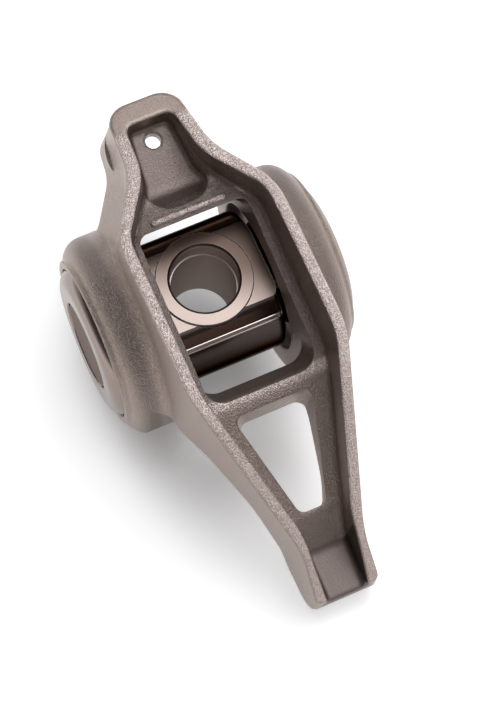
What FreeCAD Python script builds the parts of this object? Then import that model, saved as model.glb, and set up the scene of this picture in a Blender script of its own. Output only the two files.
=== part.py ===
import FreeCAD, Part
import math
import os

# A rocker arm for a pushrod engine, in millimetres.
# Z is the axis of the clamping bolt, up towards its head. X points to the valve tip.
# The origin is where the bolt's axis crosses the pivot axis, which runs along Y.

V = FreeCAD.Vector

# Trunnion
BOLT_BORE_D = 8.2
BORE_CHAMFER = 0.35
RELIEF_D = 8.5
RELIEF_DEPTH = 2.9
SEAT_RING_D = 12.2
SEAT_RING_Z = 7.8
RING_CHAMFER = 0.12
DRUM_D = 18.25
DRUM_ROUND = 1.0
FLAT_Z = 7.5
FOOT_Z = -7.9
FOOT_LENGTH = 12.0
FOOT_STEP = 0.3
JOURNAL_D = 13.0
JOURNAL_CHAMFER = 0.4
STUB_D = 10.8
STUB_LENGTH = 1.0
END_GAP = 0.8
ARM_SIDE = 0.6

# Needle bearings
NEEDLE_D = 2.5
NEEDLE_L = 5.6
NEEDLE_COUNT = 19
NEEDLE_NOSE = 0.35
RUN_GAP = 0.015
CUP_WALL = 0.9
CUP_LENGTH = 7.9
CUP_FACE_Y = 16.5
CUP_OPENING_D = 11.4
CUP_CORNER = 2.2
CUP_LIP = 1.0
CUP_CURL = 0.9
CURL_GAP = 0.35
CUP_EDGE = 0.3

# Bearing housings of the arm
HOUSING_R = 12.9
HOUSING_END_Y = 15.1
HOUSING_ROUND = 2.8
HOUSING_ROOT = 2.6
COLLAR_R = 10.9
COLLAR_OUT = 0.35
COLLAR_ROUND = 0.2

# Side view of the arm: heights over the pivot axis
RAIL_Z = 19.6
RAIL_FRONT_X = 14.4
RAIL_REAR_X = -6.0
RAIL_REAR_R = 60.0
REAR_X = -22.3
REAR_TOP_Z = 14.6
NOSE_BEND_X = 35.6
NOSE_BEND_Z = 9.0
TIP_X = 41.7
TIP_TOP_Z = 3.4
RAIL_BEND_R = 11.0
REAR_BOTTOM_Z = 6.2
CHIN_X = -12.1
CHIN_R = 2.0
BELLY_X = 20.5
BELLY_Z = 6.8
BELLY_END_X = 28.5
BELLY_END_Z = 5.9
BELLY_R = 6.0
SHOE_START_X = 33.5
SHOE_START_Z = 2.2
SHOE_LOW_X = 37.6
SHOE_LOW_Z = -5.0
SHOE_ROOT_R = 2.0
SHOE_R = 3.4
TIP_LOW_Z = 0.2

# Plan view of the arm: half widths
REAR_HALF = 4.5
NECK_X = -12.6
NECK_HALF = 5.55
WAIST_X = -4.7
WAIST_HALF = 10.3
TAPER_X = 15.6
TIP_START_X = 36.2
TIP_HALF = 4.2
OUTER_DRAFT = 0.04
RAIL_OUTER_ROUND = 0.4
RAIL_INNER_ROUND = 0.3
OUTER_CORNERS = [3.0, 10.0, 9.0, 12.0, 12.0, 0.8]

# Lower walls of the pushrod end, which spread out under the rails
SKIRT_TOP_Z = 13.4
SKIRT_LOW_Z = 5.0
SKIRT_IN = 0.1
SKIRT_REAR_X = -22.9
SKIRT_REAR_HALF = 5.6
SKIRT_NECK_X = -17.8
SKIRT_NECK_HALF = 6.3
SKIRT_WAIST_X = -11.0
SKIRT_CORNERS = [3.0, 6.0, 6.0]

# Channel between the rails
CHANNEL_REAR_X = -19.4
CHANNEL_REAR_HALF = 3.3
CHANNEL_NECK_X = -11.8
CHANNEL_NECK_HALF = 3.9
CHANNEL_WAIST_X = -4.5
CHANNEL_WAIST_HALF = 8.8
CHANNEL_TAPER_X = 15.8
CHANNEL_TIP_X = 34.0
CHANNEL_TIP_HALF = 2.75
CHANNEL_DRAFT = 0.06
CHANNEL_ROOT = 0.9
CHANNEL_CORNERS = [1.4, 9.0, 5.0, 12.0, 10.0, 0]
DECK_REAR_X = -5.0
DECK_REAR_Z = 14.1
DECK_BEND = 20.0
DECK_FRONT_X = 13.0
DECK_FRONT_Z = 12.3
BAR_X = 18.2
BAR_Z = 10.6
SLOPE_X = 32.0
SLOPE_Z = 5.6
PAD_X = 35.4
PAD_Z = 2.3
PAD_END_Z = 1.75
FLOOR_BENDS = [8.0, 8.0, 3.0, 2.0]

# Openings in the deck
WINDOW_REAR_X = -5.9
WINDOW_FRONT_X = 16.1
WINDOW_HALF = 7.15
WINDOW_REAR_CORNER = 1.3
WINDOW_FRONT_CORNER = 2.7
WINDOW_REAR_SLOPE = 0.36
WINDOW_FRONT_SLOPE = 0.6
HOLLOW_REAR_X = -12.4
HOLLOW_REAR_Z = 4.0
HOLLOW_TOP_X = -7.6
HOLLOW_TOP_Z = 10.5
BAR_BOTTOM_Z = 6.7
TRIANGLE_X = 18.3
TRIANGLE_END_X = 31.2
TRIANGLE_HALF = 4.3
TRIANGLE_END_HALF = 1.7
TRIANGLE_CORNER = 1.1
TRIANGLE_DRAFT = 0.18
LIP_X = -6.75
LIP_HALF = 4.9
LIP_W = 0.8
LIP_H = 0.5

# Pushrod end
CUP_SEAT_X = -17.4
CUP_SEAT_Z = 12.6
POCKET_REAR_X = -19.1
POCKET_REAR_HALF = 2.7
POCKET_NECK_HALF = 3.3
POCKET_WIDE_X = -11.0
POCKET_FRONT_X = -7.7
POCKET_HALF = 3.9
POCKET_CORNERS = [0.9, 4.0, 2.0, 2.8]
POCKET_LOW_X = -10.9
POCKET_LOW_Z = 11.1
POCKET_RISE_X = -7.2
POCKET_BEND = 2.2
POCKET_FLOOR_ROUND = 0.7
OIL_HOLE_D = 2.0
SOCKET_D = 8.0
SOCKET_DEPTH = 6.6
SOCKET_WALL = 1.8
SOCKET_FACE_Z = 4.2
SOCKET_TILT = 7.0
SOCKET_MOUTH_CHAMFER = 0.5
SOCKET_RIM_ROUND = 0.6

# How far cutting tools run past the arm, and past a face of it
BEYOND = 60.0
PAST = 3.0


def rounded_path(points, radii):
    """Edges of a path through the points, each inner corner rounded by its radius."""
    edges = []
    start = points[0]
    for i in range(1, len(points) - 1):
        a, b, c, r = points[i - 1], points[i], points[i + 1], radii[i - 1]
        u = (a - b).normalize()
        w = (c - b).normalize()
        half = u.getAngle(w) / 2
        if r > 0 and math.pi / 2 - half > 1e-3:
            reach = r / math.tan(half)
            p, q = b + u * reach, b + w * reach
            middle = b + (u + w).normalize() * (r / math.sin(half) - r)
            edges.append(Part.LineSegment(start, p).toShape())
            edges.append(Part.Arc(p, middle, q).toShape())
            start = q
        else:
            edges.append(Part.LineSegment(start, b).toShape())
            start = b
    edges.append(Part.LineSegment(start, points[-1]).toShape())
    return edges


def closed_outline(half_points, half_radii, z):
    """Wire in plan that mirrors a half outline over Y = 0. It starts and ends on the X axis."""
    right = [V(x, y, z) for x, y in half_points]
    left = [V(x, -y, z) for x, y in reversed(half_points)]
    points = right + left[1:]
    radii = half_radii + [0] + list(reversed(half_radii))
    edges = rounded_path(points, radii)
    return Part.Wire(edges)


def prism_over(path_points, radii, far_z):
    """Solid over (or under) a side-view path, running across the whole width."""
    edges = rounded_path([V(x, -BEYOND / 2, z) for x, z in path_points], radii)
    first = edges[0].Vertexes[0].Point
    last = edges[-1].Vertexes[-1].Point
    a = V(first.x, first.y, far_z)
    b = V(last.x, last.y, far_z)
    edges.append(Part.LineSegment(last, b).toShape())
    edges.append(Part.LineSegment(b, a).toShape())
    edges.append(Part.LineSegment(a, first).toShape())
    return Part.Face(Part.Wire(edges)).extrude(V(0, BEYOND, 0))


def edges_on(shape, first, second):
    """Edges of the shape that lie on both given surfaces."""
    found = []
    for edge in shape.Edges:
        lo, hi = edge.ParameterRange
        samples = [edge.valueAt(lo + (hi - lo) * t) for t in (0.2, 0.5, 0.8)]
        if all(s.distToShape(Part.Vertex(p))[0] < 0.002 for p in samples for s in (first, second)):
            found.append(edge)
    return found


def rims_at(shape, y):
    """Round edges of the shape in the two planes at this distance from the middle."""
    return [e for e in shape.Edges if abs(abs(e.BoundBox.YMin) - y) < 0.01 and e.BoundBox.YLength < 0.01]


def outer_outline(z):
    """Plan outline of the arm, which widens downwards by the casting draft."""
    side = WAIST_HALF + (RAIL_Z - z) * OUTER_DRAFT
    tip = TIP_HALF + (TIP_TOP_Z - z) * OUTER_DRAFT
    end = (REAR_TOP_Z - z) * OUTER_DRAFT
    half = [(REAR_X - end, 0), (REAR_X - end, REAR_HALF + end), (NECK_X, NECK_HALF + end), (WAIST_X, side),
            (TAPER_X, side), (TIP_START_X, tip), (TIP_X, tip), (TIP_X, 0)]
    return closed_outline(half, OUTER_CORNERS, z)


def channel_outline(z):
    """Plan outline of the channel, which narrows downwards by its draft."""
    side = (z - RAIL_Z) * CHANNEL_DRAFT
    tip = CHANNEL_TIP_HALF + (z - TIP_TOP_Z) * CHANNEL_DRAFT
    half = [(CHANNEL_REAR_X - side, 0), (CHANNEL_REAR_X - side, CHANNEL_REAR_HALF + side),
            (CHANNEL_NECK_X, CHANNEL_NECK_HALF + side), (CHANNEL_WAIST_X, CHANNEL_WAIST_HALF + side),
            (CHANNEL_TAPER_X, CHANNEL_WAIST_HALF + side), (CHANNEL_TIP_X, tip),
            (TIP_X + PAST, tip), (TIP_X + PAST, 0)]
    return closed_outline(half, CHANNEL_CORNERS, z)


def on_line(a, b, further):
    """The point that lies further along the line from a to b than b itself."""
    length = math.hypot(b[0] - a[0], b[1] - a[1])
    scale = 1 + further / length
    return (a[0] + (b[0] - a[0]) * scale, a[1] + (b[1] - a[1]) * scale)


def rail_top():
    """Side-view path along the top of the rails, from the pushrod end to the tip."""
    points = [on_line((RAIL_REAR_X, RAIL_Z), (REAR_X, REAR_TOP_Z), PAST), (RAIL_REAR_X, RAIL_Z),
              (RAIL_FRONT_X, RAIL_Z), (NOSE_BEND_X, NOSE_BEND_Z),
              on_line((NOSE_BEND_X, NOSE_BEND_Z), (TIP_X, TIP_TOP_Z), PAST)]
    return points, [RAIL_REAR_R, RAIL_BEND_R, RAIL_BEND_R]


def underside():
    """Side-view path along the underside, from the pushrod end over the belly to the valve shoe."""
    points = [(REAR_X - PAST, REAR_BOTTOM_Z), (CHIN_X, REAR_BOTTOM_Z), (0, 0), (BELLY_X, BELLY_Z),
              (BELLY_END_X, BELLY_END_Z), (SHOE_START_X, SHOE_START_Z), (SHOE_LOW_X, SHOE_LOW_Z),
              on_line((SHOE_LOW_X, SHOE_LOW_Z), (TIP_X, TIP_LOW_Z), PAST)]
    return points, [CHIN_R, BELLY_R, BELLY_R, BELLY_R, SHOE_ROOT_R, SHOE_R]


def skirt():
    """The lower walls of the pushrod end, which spread out under the rails to the housings."""
    rear, neck, side = REAR_X + SKIRT_IN, NECK_HALF - SKIRT_IN, WAIST_HALF - SKIRT_IN
    upper = [(rear, 0), (rear, REAR_HALF - SKIRT_IN), (NECK_X, neck), (WAIST_X, side), (0, side), (0, 0)]
    wide = WAIST_HALF + (RAIL_Z - SKIRT_LOW_Z) * OUTER_DRAFT
    lower = [(SKIRT_REAR_X, 0), (SKIRT_REAR_X, SKIRT_REAR_HALF), (SKIRT_NECK_X, SKIRT_NECK_HALF),
             (SKIRT_WAIST_X, wide), (0, wide), (0, 0)]
    corners = SKIRT_CORNERS + [0]
    wires = [closed_outline(lower, corners, SKIRT_LOW_Z), closed_outline(upper, corners, SKIRT_TOP_Z)]
    return Part.makeLoft(wires, True, True)


def arm_block():
    """The casting before its openings: drafted outline with both housings, cut to the side view."""
    low, high = -HOUSING_R - PAST, RAIL_Z + PAST
    walls = Part.makeLoft([outer_outline(low), outer_outline(high)], False, True)
    block = Part.makeLoft([outer_outline(low), outer_outline(high)], True, True)
    above = prism_over(*rail_top(), BEYOND)
    block = block.cut(above)
    block = block.makeFillet(RAIL_OUTER_ROUND, edges_on(block, walls, above))
    round_bar = Part.makeCylinder(HOUSING_R, 2 * HOUSING_END_Y, V(0, -HOUSING_END_Y, 0), V(0, 1, 0))
    block = block.fuse(round_bar)
    block = block.makeFillet(HOUSING_ROOT, edges_on(block, walls, round_bar))
    block = block.makeFillet(HOUSING_ROUND, rims_at(block, HOUSING_END_Y))
    reach = HOUSING_END_Y + COLLAR_OUT
    collar = Part.makeCylinder(COLLAR_R, 2 * reach, V(0, -reach, 0), V(0, 1, 0))
    collar = collar.makeFillet(COLLAR_ROUND, rims_at(collar, reach))
    below = prism_over(*underside(), -BEYOND)
    return block.fuse(skirt()).cut(below.cut(round_bar)).fuse(collar)


def channel():
    """The trough between the rails, with a rounded root."""
    low, high = SHOE_LOW_Z, RAIL_Z + PAST
    trough = Part.makeLoft([channel_outline(low), channel_outline(high)], True, True)
    walls = Part.makeLoft([channel_outline(low), channel_outline(high)], False, True)
    floor = [(REAR_X - PAST, DECK_REAR_Z), (DECK_REAR_X, DECK_REAR_Z), (DECK_FRONT_X, DECK_FRONT_Z),
             (BAR_X, BAR_Z), (SLOPE_X, SLOPE_Z), (PAD_X, PAD_Z), on_line((PAD_X, PAD_Z), (TIP_X, PAD_END_Z), 2 * PAST)]
    under = prism_over(floor, [DECK_BEND] + FLOOR_BENDS, -BEYOND)
    trough = trough.cut(under)
    root = edges_on(trough, walls, under)
    return trough.makeFillet(CHANNEL_ROOT, root), walls


def window():
    """The opening over the trunnion. Its rear wall leans back and its front wall leans forward."""
    high, low = RAIL_Z, -HOUSING_R - PAST
    rear = WINDOW_REAR_X + (high - DECK_REAR_Z) * WINDOW_REAR_SLOPE
    front = WINDOW_FRONT_X + (high - BAR_Z) * WINDOW_FRONT_SLOPE
    corners = [WINDOW_REAR_CORNER, WINDOW_FRONT_CORNER]
    wires = []
    for z in (low, high):
        x0 = rear - (high - z) * WINDOW_REAR_SLOPE
        x1 = front - (high - z) * WINDOW_FRONT_SLOPE
        half = [(x0, 0), (x0, WINDOW_HALF), (x1, WINDOW_HALF), (x1, 0)]
        wires.append(closed_outline(half, corners, z))
    return Part.makeLoft(wires, True, True)


def triangle():
    """The lightening hole between the cross-bar and the tip, wider at the top by its draft."""
    wires = []
    for z in (BELLY_END_Z - PAST, RAIL_Z):
        wide = (z - SLOPE_Z) * TRIANGLE_DRAFT
        half = [(TRIANGLE_X, 0), (TRIANGLE_X, TRIANGLE_HALF + wide),
                (TRIANGLE_END_X, TRIANGLE_END_HALF + wide), (TRIANGLE_END_X, 0)]
        wires.append(closed_outline(half, [TRIANGLE_CORNER, TRIANGLE_CORNER], z))
    return Part.makeLoft(wires, True, True)


def pocket():
    """The scoop over the pushrod seat. It deepens to the front and ends in a round wall."""
    half = [(POCKET_REAR_X, 0), (POCKET_REAR_X, POCKET_REAR_HALF), (NECK_X, POCKET_NECK_HALF),
            (POCKET_WIDE_X, POCKET_HALF), (POCKET_FRONT_X, POCKET_HALF), (POCKET_FRONT_X, 0)]
    top = DECK_REAR_Z + PAST / 2
    plan = Part.Face(closed_outline(half, POCKET_CORNERS, POCKET_LOW_Z - PAST))
    tool = plan.extrude(V(0, 0, top - POCKET_LOW_Z + PAST))
    walls = Part.Shell(tool.Faces)
    seat, low, rise = (POCKET_REAR_X, CUP_SEAT_Z), (POCKET_LOW_X, POCKET_LOW_Z), (POCKET_RISE_X, DECK_REAR_Z)
    floor = [on_line(low, seat, PAST), low, on_line(low, rise, PAST)]
    under = prism_over(floor, [POCKET_BEND], -BEYOND)
    tool = tool.cut(under)
    return tool.makeFillet(POCKET_FLOOR_ROUND, edges_on(tool, walls, under))


def hollow():
    """The room under the deck for the trunnion and its pedestal, between the two housings."""
    front = WINDOW_FRONT_X - (BAR_Z - BAR_BOTTOM_Z) * WINDOW_FRONT_SLOPE
    low = -HOUSING_R - PAST
    points = [V(HOLLOW_REAR_X, -WINDOW_HALF, low), V(HOLLOW_REAR_X, -WINDOW_HALF, HOLLOW_REAR_Z),
              V(HOLLOW_TOP_X, -WINDOW_HALF, HOLLOW_TOP_Z), V(front, -WINDOW_HALF, BAR_BOTTOM_Z),
              V(front, -WINDOW_HALF, low)]
    face = Part.Face(Part.makePolygon(points + points[:1]))
    return face.extrude(V(0, 2 * WINDOW_HALF, 0))


def socket_axis():
    """A point on the pushrod socket's axis at the seat, and the way the pushrod leaves."""
    tilt = math.radians(SOCKET_TILT)
    return V(CUP_SEAT_X, 0, CUP_SEAT_Z), V(-math.sin(tilt), 0, -math.cos(tilt))


def socket_boss():
    """Round boss under the pushrod end."""
    seat, way = socket_axis()
    length = (CUP_SEAT_Z - SOCKET_FACE_Z) / -way.z
    start = length / 3
    boss = Part.makeCylinder(SOCKET_D / 2 + SOCKET_WALL, length - start, seat + way * start, way)
    face = seat + way * length
    rim = [e for e in boss.Edges if e.distToShape(Part.Vertex(face))[0] < SOCKET_D]
    rim = [e for e in rim if (e.valueAt(e.FirstParameter) - face).dot(way) > -PAST / 2]
    return boss.makeFillet(SOCKET_RIM_ROUND, [e for e in rim if e.Curve.TypeId == "Part::GeomCircle"])


def socket_cut():
    """Ball-shaped socket in the boss's face, with a chamfered mouth."""
    seat, way = socket_axis()
    length = (CUP_SEAT_Z - SOCKET_FACE_Z) / -way.z
    face = seat + way * length
    radius = SOCKET_D / 2
    centre = face - way * (SOCKET_DEPTH - radius)
    ball = Part.makeSphere(radius, centre)
    mouth = Part.makeCone(radius, radius + SOCKET_MOUTH_CHAMFER, SOCKET_MOUTH_CHAMFER,
                          face - way * SOCKET_MOUTH_CHAMFER, way)
    entry = Part.makeCylinder(radius, SOCKET_DEPTH, centre, way)
    return ball.fuse([mouth, entry])


def lip_bar():
    """The raised bead along the rear edge of the window."""
    r = LIP_W / 2
    z = DECK_REAR_Z + LIP_H - r
    bar = Part.makeCylinder(r, 2 * LIP_HALF - 2 * r, V(LIP_X, -LIP_HALF + r, z), V(0, 1, 0))
    ends = [Part.makeSphere(r, V(LIP_X, y, z)) for y in (-LIP_HALF + r, LIP_HALF - r)]
    return bar.fuse(ends)


def rocker_body():
    """The whole casting: block with housings and socket boss, less its channel, openings and bores."""
    trough, sides = channel()
    cast = arm_block().fuse(socket_boss())
    cast = cast.cut(trough)
    cast = cast.makeFillet(RAIL_INNER_ROUND, edges_on(cast, sides, prism_over(*rail_top(), BEYOND)))
    for opening in (pocket(), window(), hollow(), triangle()):
        cast = cast.cut(opening)
    cast = cast.cut(Part.makeCylinder(cup_radius(), 2 * BEYOND, V(0, -BEYOND, 0), V(0, 1, 0)))
    seat, way = socket_axis()
    oil = Part.makeCylinder(OIL_HOLE_D / 2, 2 * SOCKET_D, seat - way * SOCKET_D, way)
    cast = cast.cut(socket_cut()).cut(oil)
    return cast.fuse(lip_bar()).removeSplitter()


def cup_radius():
    """Outer radius of the bearing cup, from the journal outwards."""
    return race_radius() + CUP_WALL


def race_radius():
    """Radius of the raceway inside the cup."""
    return JOURNAL_D / 2 + 2 * RUN_GAP + NEEDLE_D


def bearing_cup(side):
    """Drawn cup: shell with an outer lip that keeps the journal in and a curled inner edge."""
    outer, race = cup_radius(), race_radius()
    y0, y1 = CUP_FACE_Y - CUP_LENGTH, CUP_FACE_Y
    curl = JOURNAL_D / 2 + CURL_GAP
    points = [V(0, y0, curl), V(0, y0, outer), V(0, y1, outer), V(0, y1, CUP_OPENING_D / 2),
              V(0, y1 - CUP_LIP, CUP_OPENING_D / 2), V(0, y1 - CUP_LIP, race), V(0, y0 + CUP_CURL, race),
              V(0, y0 + CUP_CURL, curl), V(0, y0, curl)]
    edges = rounded_path(points, [CUP_EDGE, CUP_CORNER, CUP_EDGE, 0, CUP_EDGE, 0, 0])
    cup = Part.Face(Part.Wire(edges)).revolve(V(0, 0, 0), V(0, 1, 0), 360)
    return cup if side > 0 else cup.mirror(V(0, 0, 0), V(0, 1, 0))


def needle(side, index):
    """One bearing needle with rounded ends, in its place round the journal."""
    angle = 2 * math.pi * index / NEEDLE_COUNT
    pitch = JOURNAL_D / 2 + RUN_GAP + NEEDLE_D / 2
    inner = CUP_FACE_Y - CUP_LENGTH + CUP_CURL
    outer = CUP_FACE_Y - CUP_LIP
    start = (inner + outer - NEEDLE_L) / 2
    pin = Part.makeCylinder(NEEDLE_D / 2, NEEDLE_L, V(0, start, 0), V(0, 1, 0))
    pin = pin.makeChamfer(NEEDLE_NOSE, [e for e in pin.Edges if e.Curve.TypeId == "Part::GeomCircle"])
    pin.translate(V(pitch * math.cos(angle), 0, pitch * math.sin(angle)))
    return pin if side > 0 else pin.mirror(V(0, 0, 0), V(0, 1, 0))


def trunnion():
    """Pivot bar: a drum between two journals, flat above with a low ring, and a low foot below."""
    half = CUP_FACE_Y - CUP_LIP - END_GAP
    bar = Part.makeCylinder(JOURNAL_D / 2, 2 * half, V(0, -half, 0), V(0, 1, 0))
    bar = bar.makeChamfer(JOURNAL_CHAMFER, rims_at(bar, half))
    stubs = Part.makeCylinder(STUB_D / 2, 2 * (half + STUB_LENGTH), V(0, -half - STUB_LENGTH, 0), V(0, 1, 0))
    side = CUP_FACE_Y - CUP_LENGTH - END_GAP
    drum = Part.makeCylinder(DRUM_D / 2, 2 * side, V(0, -side, 0), V(0, 1, 0))
    drum = drum.makeFillet(DRUM_ROUND, rims_at(drum, side))
    above = Part.makeBox(DRUM_D, 2 * side, DRUM_D, V(-DRUM_D / 2, -side, FLAT_Z))
    below = Part.makeBox(DRUM_D, 2 * side, DRUM_D, V(-DRUM_D / 2, -side, FOOT_Z + FOOT_STEP - DRUM_D))
    foot = drum.common(Part.makeBox(DRUM_D, FOOT_LENGTH, -FOOT_Z, V(-DRUM_D / 2, -FOOT_LENGTH / 2, FOOT_Z)))
    ring = Part.makeCylinder(SEAT_RING_D / 2, SEAT_RING_Z, V(0, 0, 0))
    rim = [e for e in ring.Edges if e.BoundBox.ZMin > SEAT_RING_Z - 0.1]
    ring = ring.makeChamfer(RING_CHAMFER, rim)
    body = bar.fuse([stubs, drum.cut(above).cut(below), foot, ring])
    bore = Part.makeCylinder(BOLT_BORE_D / 2, SEAT_RING_Z - FOOT_Z, V(0, 0, FOOT_Z))
    relief = Part.makeCylinder(RELIEF_D / 2, RELIEF_DEPTH, V(0, 0, SEAT_RING_Z - RELIEF_DEPTH))
    mouth = Part.makeCone(RELIEF_D / 2, RELIEF_D / 2 + BORE_CHAMFER, BORE_CHAMFER,
                          V(0, 0, SEAT_RING_Z - BORE_CHAMFER))
    return body.cut(bore.fuse([relief, mouth])).removeSplitter()


def export(shape, name):
    shape.exportStep("parts/" + name + ".step")


os.makedirs("parts", exist_ok=True)
export(trunnion(), "trunnion")
aside = V(0, ARM_SIDE, 0)
export(rocker_body().translated(aside), "rocker_body")
for side, hand in ((-1, "left"), (1, "right")):
    export(bearing_cup(side).translated(aside), hand + "_bearing_cup")
    for index in range(NEEDLE_COUNT):
        export(needle(side, index).translated(aside), "%s_needle_%02d" % (hand, index + 1))
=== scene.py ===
import math

import bpy
from mathutils import Matrix, Vector

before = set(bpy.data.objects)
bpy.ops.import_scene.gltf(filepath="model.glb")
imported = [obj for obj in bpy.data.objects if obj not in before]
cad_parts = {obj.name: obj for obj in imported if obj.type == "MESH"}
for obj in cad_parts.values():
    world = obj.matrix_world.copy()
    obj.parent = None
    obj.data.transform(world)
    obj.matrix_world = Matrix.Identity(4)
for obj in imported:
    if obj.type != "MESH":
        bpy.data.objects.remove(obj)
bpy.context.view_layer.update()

# The arm lies on a pale table. It rests on its two round housings and on the valve shoe.
HOUSING_R = 0.0129
SHOE_X, SHOE_Z = 0.0382, -0.0034
FLOOR_SIZE = 1.6

# The paper looks white away from the arm. Its added glow is weak in an oval round this point, which is a
# painted shadow under and round the arm, and it pales outwards to white.
PAINTED_SHADOW_X, PAINTED_SHADOW_Y = 0.006, -0.0045
PAINTED_SHADOW_LENGTH, PAINTED_SHADOW_WIDTH = 0.034, 0.016
PAINTED_SHADOW_RIM = (0.4, 0.95)
GLOW_FAR = (2.0, 7.0)
PAINTED_SHADOW_GLOW = (0.15, 0.15, 0.15, 1)
GLOW_OUTSIDE = (0.5, 0.5, 0.5, 1)
PAPER_TONE = (0.84, 0.84, 0.845, 1)
PAPER_ROUGH = 0.9
PAPER_SHEEN = 0.1
WHITE = (1, 1, 1, 1)
BLACK = (0, 0, 0, 1)

# Camera, in the part's own frame: right, up and back axes and the eye
CAMERA_AXES = [[0.40803, 0.911031, 0.059446],
               [-0.878737, 0.374234, 0.296259],
               [0.247654, -0.17312, 0.953256]]
CAMERA_EYE = (0.0781214, -0.0469985, 0.26479)
LENS = 111.016
SENSOR_WIDTH = 36.0
CLIP_NEAR, CLIP_FAR = 0.01, 10.0

# Soft lights: the way to each from the arm, its distance, its size and its power
LIGHTS = {
    "overhead_box": ((-0.52, 0.18, 0.84), 0.5, 0.46, 0.85),
    "side_lamp": ((-0.10, 0.36, 0.92), 0.7, 0.42, 1.3),
}

# The room that the metal mirrors: dim, and paler towards the window, the ceiling and the horizon
ROOM_DIM = (0.085, 0.085, 0.087, 1)
ROOM_PALE = (0.66, 0.66, 0.665, 1)
WINDOW_SIDE, WINDOW_SHARE = (0.0, 0.9), 0.45
CEILING = (0.35, 0.9)
CEILING_SIDE = (-0.8, 0.0)
HORIZON = (0.22, 0.04)

# Forms of the casting that its finish follows: the line along the rails, and the outline in plan
ARM_SIDE = 0.0006
RAIL_Z = 0.0196
RAIL_REAR = (-0.0223, 0.0146, 0.307)
RAIL_NOSE = (0.0356, 0.0090, -0.5)
RAIL_TIP = (0.0356, 0.0090, -0.918)
WALL_HALF = 0.0103
WALL_REAR = (-0.0223, 0.0045, 0.108)
WALL_NECK = (-0.0126, 0.00555, 0.601)
WALL_NOSE = (0.0362, 0.0042, -0.296)
WALL_THICK = 0.0013

# Where each finish of the casting starts and ends: (none of it, all of it)
WORN_DEPTH = (0.0012, 0.0005)
WORN_FACING = (0.55, 0.8)
TROUGH_INSIDE = (0.4 * WALL_THICK, WALL_THICK)
TROUGH_DEPTH = (0.0004, 0.0010)
TROUGH_FLOOR = (0.5, 0.9)
FRONT_X = (0.0110, 0.0165)
SMOOTH_END_X = (-0.0175, -0.0190)
# Where a highlight is painted: on the bead behind the window and on the cross-bar in front of it
BEAD_TOP = (0.0142, 0.0144)
BEAD_REAR_X = (-0.00745, -0.00725)
BEAD_FRONT_X = (-0.00605, -0.00625)
BAR_REAR_X = (0.0155, 0.0161)
BAR_FRONT_X = (0.0177, 0.0165)
BAR_FACING = (0.3, 0.7)
PAD_X = (0.0350, 0.0354)
SCOOP_X = (-0.0085, -0.0095)
FLANK_IN = (0.0112, 0.0122)
FLANK_OUT = (0.0150, 0.0130)
NOSE_X = (0.0161, 0.0221)

# Grain of the casting, and how much of it each place has
GRAIN_SCALE = 6400.0
COARSE_RATIO, COARSE_SHARE = 0.45, 0.4
FINE_DETAIL, COARSE_DETAIL = 1.5, 1.0
MOTTLE = (0.38, 0.62)
GRAIN_STRENGTH, GRAIN_DEPTH = 0.9, 0.00021
GRAIN_OUTSIDE, GRAIN_TROUGH = 0.85, 0.75
GRAIN_SMOOTH_END, GRAIN_PAD, GRAIN_SCOOP = 0.35, 0.2, 0.4
PITS, PITS_LEFT_IN_TROUGH = 0.30, 0.10
SPECK_LEAST = 0.3
SPECK_SMOOTH_END, SPECK_NOSE = 0.15, 0.6
FRONT_SCALE = 0.45
FLANK_SCALE = 0.7
CAST_EDGE = {"Radius": 0.0007, "Low": 0.03, "High": 0.30}
CAST_EDGE_SHARE = 0.45
OUTER_ROUGH, TROUGH_ROUGH, WORN_ROUGH = 0.34, 0.42, 0.38

# Forms of the trunnion that its finish follows
BORE_OUT = (0.0044, 0.0043)
BORE_DEPTH = (0.0078, 0.0073)
# Painted shade on the trunnion: towards its rear along a slant, and under its flat
PAINTED_SHADE_REAR = (0.0050, -0.0030)
PAINTED_SHADE_SLANT = -0.5
BELOW_FLAT = (0.0074, 0.0071)
ON_FLAT = (0.0072, 0.0074)
# A painted reflection: a light line along the drum's front, with a faint ridge under it
REFLECTION_LINE_Z, REFLECTION_LINE_HALF = 0.0055, 0.00040
REFLECTION_LINE_FRONT_X = (0.0, 0.002)
REFLECTION_LINE_RIDGE = 0.00015
# Painted shade low on the drum, below the light line
SHADED_DEPTH = (0.0055, 0.0052)
STUB_Y = (0.0140, 0.0142)
GROUND_EDGE = {"Radius": 0.00018, "Low": 0.02, "High": 0.2}
GROUND_EDGE_SHARE = 0.8
DRUM_ROUGH, FLAT_ROUGH, DULL_ROUGH, EDGE_ROUGH = 0.16, 0.34, 0.42, 0.6
CUP_ROUGH = 0.26
NEEDLE_ROUGH = 0.15
BEVEL_SAMPLES = 6

# Steel tones
OUTER_TONE = (0.370, 0.297, 0.260, 1)
# Rubbed rail tops, and the painted highlight on the bead and the cross-bar
WORN_AND_HIGHLIGHT_TONE = (0.84, 0.715, 0.685, 1)
SCALE_TONE = (0.185, 0.150, 0.139, 1)
WALL_TONE = (0.46, 0.38, 0.35, 1)
# Valve pad: smooth ground steel, painted darker as shade for the dark room it mirrors
PAD_PAINTED_SHADE_TONE = (0.16, 0.132, 0.126, 1)
# Edge colour on the casting: partly edge wear, partly a painted highlight
EDGE_WEAR_AND_HIGHLIGHT_TONE = (0.62, 0.545, 0.505, 1)
GROUND_TONE = (0.30, 0.245, 0.222, 1)
GRAZING_TINT = (0.30, 0.28, 0.27, 1)
SHADED_TONE = (0.055, 0.045, 0.040, 1)
STUB_TONE = (0.36, 0.30, 0.268, 1)
# Painted shade on the trunnion's rear and under its flat
PAINTED_SHADE_TONE = (0.105, 0.074, 0.062, 1)
BORE_TONE = (0.60, 0.51, 0.48, 1)
CUP_TONE = (0.27, 0.22, 0.195, 1)
NEEDLE_TONE = (0.62, 0.60, 0.58, 1)
GLINT_TONE = (0.95, 0.88, 0.85, 1)


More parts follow.
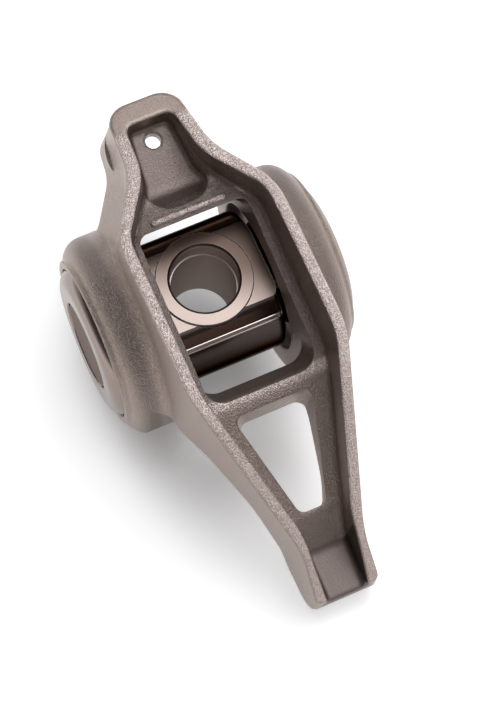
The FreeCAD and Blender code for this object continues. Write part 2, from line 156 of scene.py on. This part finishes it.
def new_group(name, inputs, outputs):
    """A node group with named sockets: inputs as (name, type, start value), outputs as (name, type)."""
    group = bpy.data.node_groups.new(name, "ShaderNodeTree")
    for label, kind, value in inputs:
        socket = group.interface.new_socket(label, in_out="INPUT", socket_type="NodeSocket" + kind)
        if value is not None:
            socket.default_value = value
    for label, kind in outputs:
        group.interface.new_socket(label, in_out="OUTPUT", socket_type="NodeSocket" + kind)
    source = group.nodes.new("NodeGroupInput")
    result = group.nodes.new("NodeGroupOutput")
    return group, source, result


def add(tree, kind, **settings):
    """A node of that kind with its settings."""
    node = tree.nodes.new("ShaderNode" + kind)
    for key, value in settings.items():
        setattr(node, key, value)
    return node


def plug(tree, socket, value):
    """Set an input to a plain value, or link an output to it."""
    if isinstance(value, (int, float, tuple)):
        socket.default_value = value
    else:
        tree.links.new(value, socket)


def maths(tree, operation, *values, clamp=False):
    """Output of a math node whose inputs are outputs or numbers."""
    node = add(tree, "Math", operation=operation, use_clamp=clamp)
    for socket, value in zip(node.inputs, values):
        plug(tree, socket, value)
    return node.outputs[0]


def product(tree, first, *others):
    """All the values multiplied together."""
    for value in others:
        first = maths(tree, "MULTIPLY", first, value)
    return first


def highest(tree, first, *others):
    """The highest of the values."""
    for value in others:
        first = maths(tree, "MAXIMUM", first, value)
    return first


def lowest(tree, first, *others):
    """The lowest of the values."""
    for value in others:
        first = maths(tree, "MINIMUM", first, value)
    return first


def distance_from(tree, value, middle):
    """How far the value lies from the middle, on either side."""
    return maths(tree, "ABSOLUTE", maths(tree, "SUBTRACT", value, middle))


def step(tree, value, ends):
    """Smooth step from 0 at the first end to 1 at the second. It falls where the first end is the higher."""
    node = add(tree, "MapRange", interpolation_type="SMOOTHSTEP")
    for label, setting in (("Value", value), ("From Min", ends[0]), ("From Max", ends[1])):
        plug(tree, node.inputs[label], setting)
    return node.outputs["Result"]


def blend(tree, factor, a, b):
    """Colour between a and b, each an output or a plain colour."""
    node = add(tree, "Mix", data_type="RGBA")
    for socket, value in ((node.inputs[0], factor), (node.inputs[6], a), (node.inputs[7], b)):
        plug(tree, socket, value)
    return node.outputs[2]


def between(tree, factor, a, b):
    """Number between a and b."""
    node = add(tree, "Mix", data_type="FLOAT")
    for socket, value in ((node.inputs[0], factor), (node.inputs[2], a), (node.inputs[3], b)):
        plug(tree, socket, value)
    return node.outputs[0]


def sloped(tree, x, line):
    """Height at x of the line given as (x of a point, its height, slope)."""
    x0, height, slope = line
    return maths(tree, "MULTIPLY_ADD", x, slope, height - slope * x0)


def length_of(tree, a, b):
    """Length of the vector with the parts a and b."""
    return maths(tree, "SQRT", maths(tree, "ADD", product(tree, a, a), product(tree, b, b)))


def place_of(tree):
    """Object coordinates as a vector and as x, y and z."""
    place = add(tree, "TexCoord").outputs["Object"]
    parts = add(tree, "SeparateXYZ")
    tree.links.new(place, parts.inputs[0])
    return place, parts.outputs[0], parts.outputs[1], parts.outputs[2]


def facing_up(tree):
    """How much the surface faces up: the upright part of its normal."""
    parts = add(tree, "SeparateXYZ")
    tree.links.new(add(tree, "NewGeometry").outputs["Normal"], parts.inputs[0])
    return parts.outputs[2]


def cast_grain_group():
    """Orange-peel grain of a shot-blasted casting: a height for bump and a fine mottle."""
    t, source, result = new_group(
        "cast_grain",
        [("Vector", "Vector", None), ("Grain Scale", "Float", GRAIN_SCALE),
         ("Coarse Share", "Float", COARSE_SHARE)],
        [("Height", "Float"), ("Mottle", "Float")])
    fine = add(t, "TexNoise")
    coarse = add(t, "TexNoise")
    fine.inputs["Detail"].default_value = FINE_DETAIL
    coarse.inputs["Detail"].default_value = COARSE_DETAIL
    for node in (fine, coarse):
        t.links.new(source.outputs["Vector"], node.inputs["Vector"])
    t.links.new(source.outputs["Grain Scale"], fine.inputs["Scale"])
    t.links.new(product(t, source.outputs["Grain Scale"], COARSE_RATIO), coarse.inputs["Scale"])
    coarse_part = product(t, coarse.outputs["Fac"], source.outputs["Coarse Share"])
    t.links.new(maths(t, "ADD", fine.outputs["Fac"], coarse_part), result.inputs["Height"])
    t.links.new(step(t, fine.outputs["Fac"], MOTTLE), result.inputs["Mottle"])
    return t


def edge_wear_and_glint_group():
    """Where the surface turns sharply within a small radius: 1 on an edge, for edge wear and painted glints.
    Also the softened normal.
    """
    t, source, result = new_group(
        "edge_wear_and_glint", [(label, "Float", value) for label, value in GROUND_EDGE.items()],
        [("Mask", "Float"), ("Normal", "Vector")])
    bevel = add(t, "Bevel", samples=BEVEL_SAMPLES)
    t.links.new(source.outputs["Radius"], bevel.inputs["Radius"])
    likeness = add(t, "VectorMath", operation="DOT_PRODUCT")
    t.links.new(bevel.outputs["Normal"], likeness.inputs[0])
    t.links.new(add(t, "NewGeometry").outputs["Normal"], likeness.inputs[1])
    turn = maths(t, "SUBTRACT", 1.0, likeness.outputs["Value"])
    t.links.new(step(t, turn, (source.outputs["Low"], source.outputs["High"])), result.inputs["Mask"])
    t.links.new(bevel.outputs["Normal"], result.inputs["Normal"])
    return t


def metal(name, colour, roughness):
    """A plain metal and its shader."""
    material = bpy.data.materials.new(name)
    material.use_nodes = True
    shader = material.node_tree.nodes["Principled BSDF"]
    shader.inputs["Base Color"].default_value = colour
    shader.inputs["Metallic"].default_value = 1.0
    shader.inputs["Roughness"].default_value = roughness
    return material, material.node_tree, shader


def use_group(tree, group, values):
    """The group as a node, with its inputs set."""
    node = add(tree, "Group")
    node.node_tree = group
    for label, value in values.items():
        plug(tree, node.inputs[label], value)
    return node


def rail_mask(t, under, up):
    """1 on the rubbed tops of the rails: close to the line along the rails, and facing up."""
    return product(t, step(t, under, WORN_DEPTH), step(t, up, WORN_FACING))


def trough_mask(t, x, side, under):
    """1 inside the trough between the rails: within the outline by a wall's thickness and below their tops."""
    nose = maths(t, "MAXIMUM", sloped(t, x, WALL_NOSE), WALL_NOSE[1])
    half = lowest(t, highest(t, sloped(t, x, WALL_REAR), sloped(t, x, WALL_NECK)), WALL_HALF, nose)
    inside = maths(t, "SUBTRACT", half, side)
    return product(t, step(t, inside, TROUGH_INSIDE), step(t, under, TROUGH_DEPTH))


def painted_ridge_highlights(t, x, z, up):
    """1 where a highlight is painted: on the top of the bead behind the window and on the top of the cross-bar
    in front of it.
    """
    bead = product(t, step(t, z, BEAD_TOP), step(t, x, BEAD_REAR_X), step(t, x, BEAD_FRONT_X))
    bar = product(t, step(t, x, BAR_REAR_X), step(t, x, BAR_FRONT_X))
    return product(t, highest(t, bead, bar), step(t, up, BAR_FACING))


def cast_colour(t, masks, mottle, x, side, up):
    """Brown casting: dark scale in the trough and in the pits, painted shade on the valve pad, a darker flank,
    bright specks on rubbed rail tops, and a painted highlight on the bead and the cross-bar.
    """
    scale = product(t, masks["trough"], between(t, step(t, x, FRONT_X), 1.0, FRONT_SCALE))
    colour = blend(t, scale, OUTER_TONE, blend(t, step(t, up, TROUGH_FLOOR), WALL_TONE, SCALE_TONE))
    # The valve pad is painted darker: painted shade
    colour = blend(t, masks["pad"], colour, PAD_PAINTED_SHADE_TONE)
    pits = between(t, mottle, PITS, between(t, masks["trough"], 0.0, PITS_LEFT_IN_TROUGH))
    colour = blend(t, pits, colour, SCALE_TONE)
    flank = product(t, step(t, side, FLANK_IN), step(t, side, FLANK_OUT), FLANK_SCALE)
    colour = blend(t, flank, colour, SCALE_TONE)
    speck = product(t, between(t, mottle, SPECK_LEAST, 1.0),
                    between(t, masks["smooth_end"], 1.0, SPECK_SMOOTH_END),
                    between(t, step(t, x, NOSE_X), 1.0, SPECK_NOSE))
    # Rubbed rail tops with bright specks, and painted highlights on the bead and the cross-bar
    return blend(t, product(t, masks["worn_and_highlight"], speck), colour, WORN_AND_HIGHLIGHT_TONE)


def cast_steel(grain, wear_and_glint):
    """Shot-blasted casting: bright grained rail tops, dark scale in the trough, smoother outer walls."""
    material, t, shader = metal("cast_steel", OUTER_TONE, OUTER_ROUGH)
    place, x, y, z = place_of(t)
    up = facing_up(t)
    side = distance_from(t, y, ARM_SIDE)
    line = lowest(t, sloped(t, x, RAIL_REAR), RAIL_Z, sloped(t, x, RAIL_NOSE), sloped(t, x, RAIL_TIP))
    under = maths(t, "SUBTRACT", line, z)
    trough = trough_mask(t, x, side, under)
    ridge_highlights = product(t, trough, painted_ridge_highlights(t, x, z, up))
    masks = {
        "trough": trough,
        "worn_and_highlight": highest(t, rail_mask(t, under, up), ridge_highlights),
        "smooth_end": step(t, x, SMOOTH_END_X),
        "pad": product(t, trough, step(t, x, PAD_X)),
        "scoop": product(t, trough, step(t, x, SCOOP_X)),
    }
    peel = use_group(t, grain, {"Vector": place})
    edges = use_group(t, wear_and_glint, CAST_EDGE)
    colour = cast_colour(t, masks, peel.outputs["Mottle"], x, side, up)
    # Lighter edges on the casting: partly edge wear, partly a painted highlight
    colour = blend(t, product(t, edges.outputs["Mask"], CAST_EDGE_SHARE), colour, EDGE_WEAR_AND_HIGHLIGHT_TONE)
    t.links.new(colour, shader.inputs["Base Color"])
    rough = between(t, masks["worn_and_highlight"], between(t, trough, OUTER_ROUGH, TROUGH_ROUGH), WORN_ROUGH)
    t.links.new(rough, shader.inputs["Roughness"])
    depth = product(t, between(t, masks["worn_and_highlight"], between(t, trough, GRAIN_OUTSIDE, GRAIN_TROUGH), 1.0),
                    between(t, masks["smooth_end"], 1.0, GRAIN_SMOOTH_END),
                    between(t, masks["pad"], 1.0, GRAIN_PAD),
                    between(t, masks["scoop"], 1.0, GRAIN_SCOOP))
    bump = add(t, "Bump")
    bump.inputs["Strength"].default_value = GRAIN_STRENGTH
    bump.inputs["Distance"].default_value = GRAIN_DEPTH
    t.links.new(product(t, peel.outputs["Height"], depth), bump.inputs["Height"])
    t.links.new(edges.outputs["Normal"], bump.inputs["Normal"])
    t.links.new(bump.outputs["Normal"], shader.inputs["Normal"])
    return material


def machined_steel(wear_and_glint):
    """Turned and ground bar, faintly brown, dull in the bolt's bore. Painted on it are a light reflection line
    along its front, shade on its rear, under its flat and low on the drum, and glints on its edges.
    """
    material, t, shader = metal("machined_steel", GROUND_TONE, FLAT_ROUGH)
    shader.inputs["Specular Tint"].default_value = GRAZING_TINT
    place, x, y, z = place_of(t)
    edges = use_group(t, wear_and_glint, GROUND_EDGE)
    bore = product(t, step(t, length_of(t, x, y), BORE_OUT), step(t, z, BORE_DEPTH))
    stub = step(t, distance_from(t, y, 0.0), STUB_Y)
    # A painted reflection: the light line along the drum's front
    reflection_line = step(t, distance_from(t, z, REFLECTION_LINE_Z), (REFLECTION_LINE_HALF, REFLECTION_LINE_HALF / 2))
    reflection_line = product(t, reflection_line, step(t, x, REFLECTION_LINE_FRONT_X))
    # Painted shade on the trunnion's rear and under its flat
    painted_shade = step(t, maths(t, "MULTIPLY_ADD", y, PAINTED_SHADE_SLANT, x), PAINTED_SHADE_REAR)
    colour = blend(t, highest(t, painted_shade, step(t, z, BELOW_FLAT)), GROUND_TONE, PAINTED_SHADE_TONE)
    # Painted shade low on the drum
    colour = blend(t, step(t, z, SHADED_DEPTH), colour, SHADED_TONE)
    colour = blend(t, reflection_line, colour, GLINT_TONE)
    colour = blend(t, bore, colour, BORE_TONE)
    colour = blend(t, stub, colour, STUB_TONE)
    # Painted glints on the trunnion's edges
    colour = blend(t, product(t, edges.outputs["Mask"], GROUND_EDGE_SHARE), colour, GLINT_TONE)
    t.links.new(colour, shader.inputs["Base Color"])
    rough = between(t, step(t, z, ON_FLAT), DRUM_ROUGH, FLAT_ROUGH)
    rough = between(t, highest(t, bore, stub), rough, DULL_ROUGH)
    t.links.new(between(t, edges.outputs["Mask"], rough, EDGE_ROUGH), shader.inputs["Roughness"])
    ridge = add(t, "Bump")
    ridge.inputs["Distance"].default_value = REFLECTION_LINE_RIDGE
    t.links.new(reflection_line, ridge.inputs["Height"])
    t.links.new(ridge.outputs["Normal"], shader.inputs["Normal"])
    return material


def dress():
    """Give every node of the frame its finish."""
    grain = cast_grain_group()
    wear_and_glint = edge_wear_and_glint_group()
    finishes = {"trunnion": machined_steel(wear_and_glint), "rocker_body": cast_steel(grain, wear_and_glint)}
    cup = metal("cup_steel", CUP_TONE, CUP_ROUGH)[0]
    needles = metal("needle_steel", NEEDLE_TONE, NEEDLE_ROUGH)[0]
    for name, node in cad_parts.items():
        finish = finishes.get(name) or (cup if name.endswith("bearing_cup") else needles)
        for slot in node.material_slots:
            slot.material = finish


def table_axes():
    """Along, across and up axes of the table top that touches both housings and the shoe."""
    reach = math.hypot(SHOE_X, SHOE_Z)
    down = math.atan2(SHOE_Z, SHOE_X) - math.acos(HOUSING_R / reach)
    up = Vector((-math.cos(down), 0, -math.sin(down)))
    across = Vector((0, 1, 0))
    return across.cross(up), across, up


def white_paper():
    """Matt white paper. The camera and reflections see it brighter, less so in a painted shadow round the arm,
    and it keeps its shadows.
    """
    paper = bpy.data.materials.new("white_paper")
    paper.use_nodes = True
    t = paper.node_tree
    shader = t.nodes["Principled BSDF"]
    shader.inputs["Base Color"].default_value = PAPER_TONE
    shader.inputs["Roughness"].default_value = PAPER_ROUGH
    shader.inputs["Specular IOR Level"].default_value = PAPER_SHEEN
    path = add(t, "LightPath")
    seen = highest(t, path.outputs["Is Camera Ray"], path.outputs["Is Glossy Ray"],
                   path.outputs["Is Transmission Ray"])
    place, x, y, z = place_of(t)
    along = maths(t, "DIVIDE", maths(t, "SUBTRACT", x, PAINTED_SHADOW_X), PAINTED_SHADOW_LENGTH)
    across = maths(t, "DIVIDE", maths(t, "SUBTRACT", y, PAINTED_SHADOW_Y), PAINTED_SHADOW_WIDTH)
    away = length_of(t, along, across)
    # Weak glow in the oval round the arm: a painted shadow on the paper
    glow_with_painted_shadow = blend(t, step(t, away, PAINTED_SHADOW_RIM), PAINTED_SHADOW_GLOW, GLOW_OUTSIDE)
    glow_with_painted_shadow = blend(t, step(t, away, GLOW_FAR), glow_with_painted_shadow, WHITE)
    shader.inputs["Emission Strength"].default_value = 1.0
    t.links.new(blend(t, seen, BLACK, glow_with_painted_shadow), shader.inputs["Emission Color"])
    return paper


def table_top():
    """The pale table under the arm."""
    along, across, up = table_axes()
    centre = -HOUSING_R * up
    half = FLOOR_SIZE / 2
    corners = [centre + along * half * a + across * half * b for a, b in ((-1, -1), (1, -1), (1, 1), (-1, 1))]
    mesh = bpy.data.meshes.new("table_top")
    mesh.from_pydata(corners, [], [(0, 1, 2, 3)])
    table = bpy.data.objects.new("table_top", mesh)
    bpy.context.scene.collection.objects.link(table)
    mesh.materials.append(white_paper())


def area_light(name, away, distance, size, power):
    """A square soft light that looks at the arm from that way."""
    data = bpy.data.lights.new(name, "AREA")
    data.shape = "SQUARE"
    data.size = size
    data.energy = power
    light = bpy.data.objects.new(name, data)
    bpy.context.scene.collection.objects.link(light)
    away = Vector(away).normalized()
    light.location = away * distance
    light.rotation_mode = "QUATERNION"
    light.rotation_quaternion = away.to_track_quat("Z", "Y")


def studio():
    """White behind the object for the camera. For all else a dim room, paler on the side of the window."""
    world = bpy.data.worlds.new("room")
    bpy.context.scene.world = world
    world.use_nodes = True
    t = world.node_tree
    way = add(t, "SeparateXYZ")
    t.links.new(add(t, "TexCoord").outputs["Generated"], way.inputs[0])
    across, up = way.outputs[1], way.outputs[2]
    window = product(t, step(t, across, WINDOW_SIDE), WINDOW_SHARE)
    ceiling = product(t, step(t, up, CEILING), step(t, across, CEILING_SIDE))
    pale = maths(t, "ADD", maths(t, "ADD", window, ceiling), step(t, up, HORIZON), clamp=True)
    room = blend(t, pale, ROOM_DIM, ROOM_PALE)
    path = add(t, "LightPath")
    t.links.new(blend(t, path.outputs["Is Camera Ray"], room, WHITE), t.nodes["Background"].inputs["Color"])


def camera():
    """The camera that took the photograph."""
    data = bpy.data.cameras.new("camera")
    data.lens = LENS
    data.sensor_width = SENSOR_WIDTH
    data.clip_start = CLIP_NEAR
    data.clip_end = CLIP_FAR
    cam = bpy.data.objects.new("camera", data)
    bpy.context.scene.collection.objects.link(cam)
    axes = Matrix(CAMERA_AXES).transposed().to_4x4()
    cam.matrix_world = Matrix.Translation(CAMERA_EYE) @ axes
    bpy.context.scene.camera = cam


dress()
table_top()
studio()
for light_name, setting in LIGHTS.items():
    area_light(light_name, *setting)
camera()
bpy.context.scene.view_settings.view_transform = "Standard"
